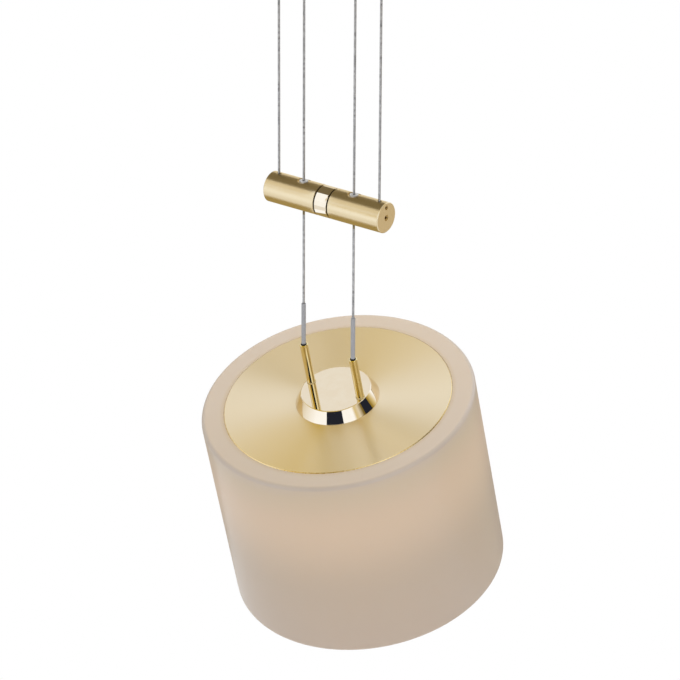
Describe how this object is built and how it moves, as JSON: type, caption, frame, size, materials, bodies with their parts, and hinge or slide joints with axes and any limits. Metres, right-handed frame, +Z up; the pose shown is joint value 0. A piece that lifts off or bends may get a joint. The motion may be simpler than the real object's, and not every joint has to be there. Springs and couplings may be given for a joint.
{
  "type": "height-adjustable pendant lamp",
  "caption": "Pull pendant: opal glass cylinder under a brass plate, hung on ropes over canopy pulleys, with a brass brake bar that rises as the lamp is pulled down.",
  "frame": {"origin": "centre of the ceiling plate's top face, where it meets the ceiling", "axes": "+Z up, +X along the brake bar and the line of the pins, +Y the way the foot of the shade is swung"},
  "size_m": [0.18, 0.2102, 0.5167],
  "materials": {
    "satin_brass": "satin",
    "turned_brass": "circular brushed",
    "polished_brass": "polished",
    "opal_glass": "satin opal",
    "rope_steel": "stranded",
    "plated_steel": "zinc plated",
    "ferrule_nickel": "satin nickel",
    "sleeve_grey": "satin",
    "dark_insulator": "matt",
    "nylon": "satin",
    "driver_white": "matt",
    "silicone": "translucent",
    "cast_aluminium": "anodised",
    "board_white": "solder mask",
    "phosphor": "matt",
    "diffuser_opal": "opal",
    "wire_jacket": "satin"
  },
  "bodies": {
    "ceiling_mount": {"ceiling_plate": "plated_steel", "canopy_cover": "satin_brass", "thumb_screws": "polished_brass", "rope_bushings": "nylon", "pulley_frame": "plated_steel", "frame_screws": "plated_steel", "pulley_axles": "plated_steel", "axle_clips": "plated_steel", "axle_bushes": "nylon", "contact_tags": "polished_brass", "feed_wires": "wire_jacket", "led_driver": "driver_white", "driver_screws": "plated_steel", "terminal_block": "driver_white", "terminal_clamp_screws": "plated_steel", "terminal_block_screws": "plated_steel", "mains_leads": "wire_jacket", "earth_screw": "plated_steel", "pulley_rope_left": "rope_steel", "pulley_rope_right": "rope_steel"},
    "left_pulley": {"pulley_left": "polished_brass"},
    "right_pulley": {"pulley_right": "polished_brass"},
    "brake_bar": {"bar_half_left": "satin_brass", "bar_half_right": "satin_brass", "centre_ring": "polished_brass", "ring_washers": "dark_insulator", "joining_stud": "nylon", "guide_ferrules": "ferrule_nickel", "rope_clamp_screws": "plated_steel", "brake_screws": "plated_steel", "brake_plugs": "nylon", "outer_rope_left": "rope_steel", "outer_rope_right": "rope_steel"},
    "rope_hanger": {"inner_rope_left": "rope_steel", "inner_rope_right": "rope_steel", "rope_sleeve_left": "sleeve_grey", "rope_sleeve_right": "sleeve_grey", "rope_end_beads": "ferrule_nickel"},
    "lamp_head": {"pin_left": "polished_brass", "pin_right": "polished_brass", "rope_tails": "rope_steel", "pin_collars": "nylon", "pin_washers": "nylon", "pin_tags": "polished_brass", "pin_nuts": "plated_steel", "boss": "polished_brass", "top_plate": "turned_brass", "glass_shade": "opal_glass", "shade_gaskets": "silicone", "clamp_ring": "plated_steel", "clamp_pillars": "plated_steel", "clamp_ring_screws": "plated_steel", "threaded_nipple": "plated_steel", "nipple_nuts": "plated_steel", "heat_sink": "cast_aluminium", "led_board": "board_white", "board_screws": "plated_steel", "led_chips": "phosphor", "led_leads": "wire_jacket", "diffuser": "diffuser_opal"}
  },
  "joints": [
    {"name": "height", "type": "slide", "parent": "ceiling_mount", "child": "rope_hanger", "axis": [0, 0, 1], "range_m": [-0.15, 0.03], "deforming": ["inner_rope_left", "inner_rope_right"]},
    {"name": "swing", "type": "hinge", "parent": "rope_hanger", "child": "lamp_head", "pos_m": [0, 0, -0.321], "axis": [1, 0, 0], "range_deg": [-56, 24]},
    {"name": "bar_travel", "type": "slide", "parent": "ceiling_mount", "child": "brake_bar", "axis": [0, 0, 1], "range_m": [-0.03, 0.15], "deforming": ["outer_rope_left", "outer_rope_right"]},
    {"name": "left_pulley_turn", "type": "hinge", "parent": "ceiling_mount", "child": "left_pulley", "pos_m": [-0.02925, 0, -0.024], "axis": [0, 1, 0], "range_deg": [-185, 890]},
    {"name": "right_pulley_turn", "type": "hinge", "parent": "ceiling_mount", "child": "right_pulley", "pos_m": [0.02925, 0, -0.024], "axis": [0, 1, 0], "range_deg": [-890, 185]}
  ],
  "couplings": [
    {"joint": "bar_travel", "follows": "height", "ratio": -1},
    {"joint": "left_pulley_turn", "follows": "height", "rad_per_m": -102.56},
    {"joint": "right_pulley_turn", "follows": "height", "rad_per_m": 102.56}
  ]
}
